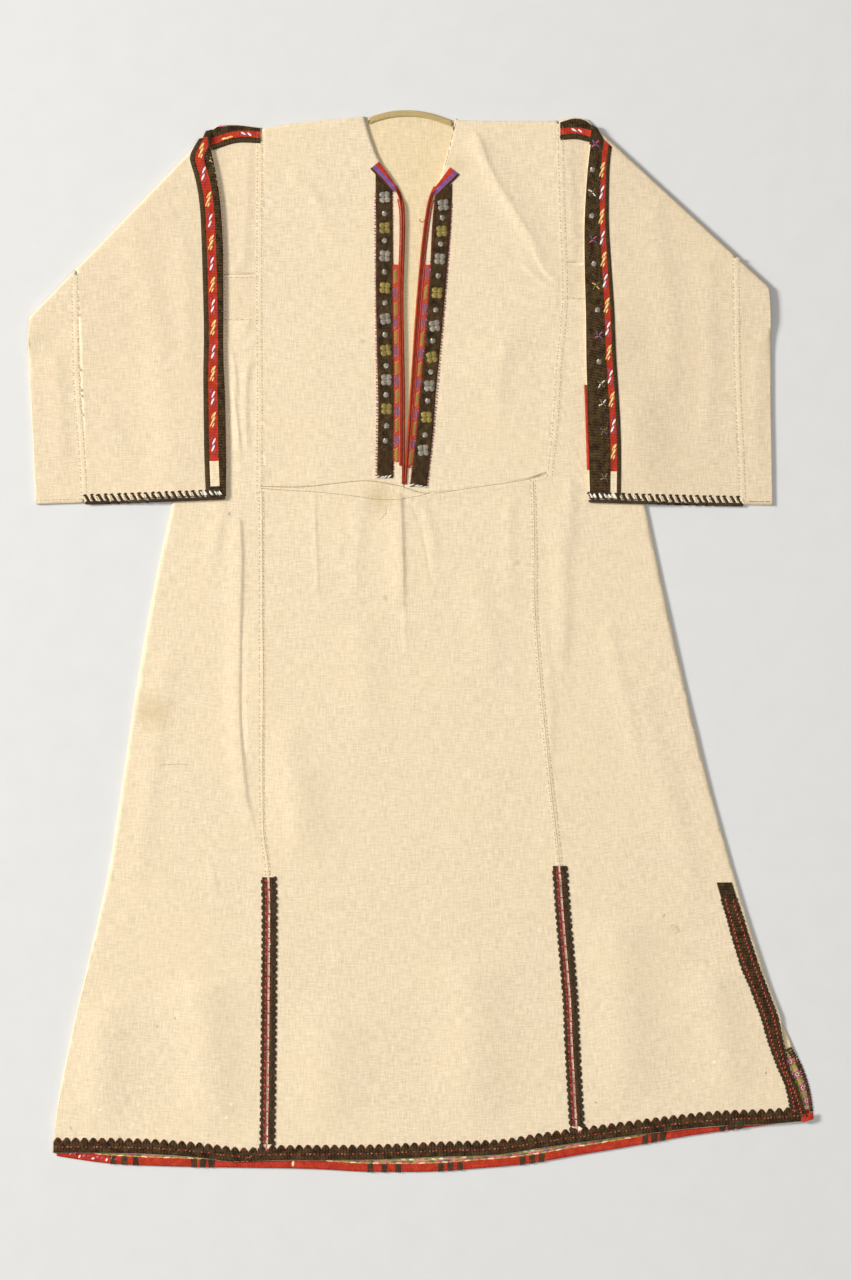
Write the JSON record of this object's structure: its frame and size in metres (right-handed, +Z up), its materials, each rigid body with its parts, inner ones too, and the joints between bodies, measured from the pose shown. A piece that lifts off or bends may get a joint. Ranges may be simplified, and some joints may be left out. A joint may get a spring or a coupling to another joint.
{
  "type": "embroidered folk chemise",
  "caption": "Long off-white cotton chemise with a slit neck, wide sleeves folded down and dark embroidered braid on sleeves, neck and hem, laid flat on its back.",
  "frame": {"origin": "centre of the laid garment's outline, on the surface it lies on", "axes": "+Y towards the neck, +Z up from the surface, +X towards the wearer's left sleeve"},
  "size_m": [0.8999, 1.2211, 0.0072],
  "materials": {
    "cotton": "matt hand-loomed cotton",
    "black_wool": "matt wool stitching",
    "red_wool": "matt wool stitching",
    "pattern_braid": "matt many-coloured stitching"
  },
  "bodies": {
    "root": {"back_centre": "cotton", "back_gore_left": "cotton", "back_gore_right": "cotton", "bodice_left": "cotton", "bodice_right": "cotton", "skirt_front": "cotton", "gore_left": "cotton", "gore_right": "cotton", "sleeve_left": "cotton", "sleeve_right": "cotton", "sleeve_strip_left": "cotton", "sleeve_strip_right": "cotton", "neck_hem": "cotton", "placket_left": "black_wool", "placket_right": "black_wool", "sleeve_band_left": "black_wool", "sleeve_band_right": "black_wool", "shoulder_band_left": "black_wool", "shoulder_band_right": "black_wool", "seam_braid_left": "black_wool", "seam_braid_right": "black_wool", "side_braid_right": "black_wool", "hem_braid_left": "black_wool", "hem_braid_centre": "black_wool", "hem_braid_right": "black_wool", "piping_left": "red_wool", "piping_right": "red_wool", "hem_binding": "red_wool", "red_strip_left": "pattern_braid", "red_strip_right": "pattern_braid", "neck_tab_left": "pattern_braid", "neck_tab_right": "pattern_braid", "hem_facing": "pattern_braid", "side_facing": "pattern_braid"}
  },
  "joints": []
}
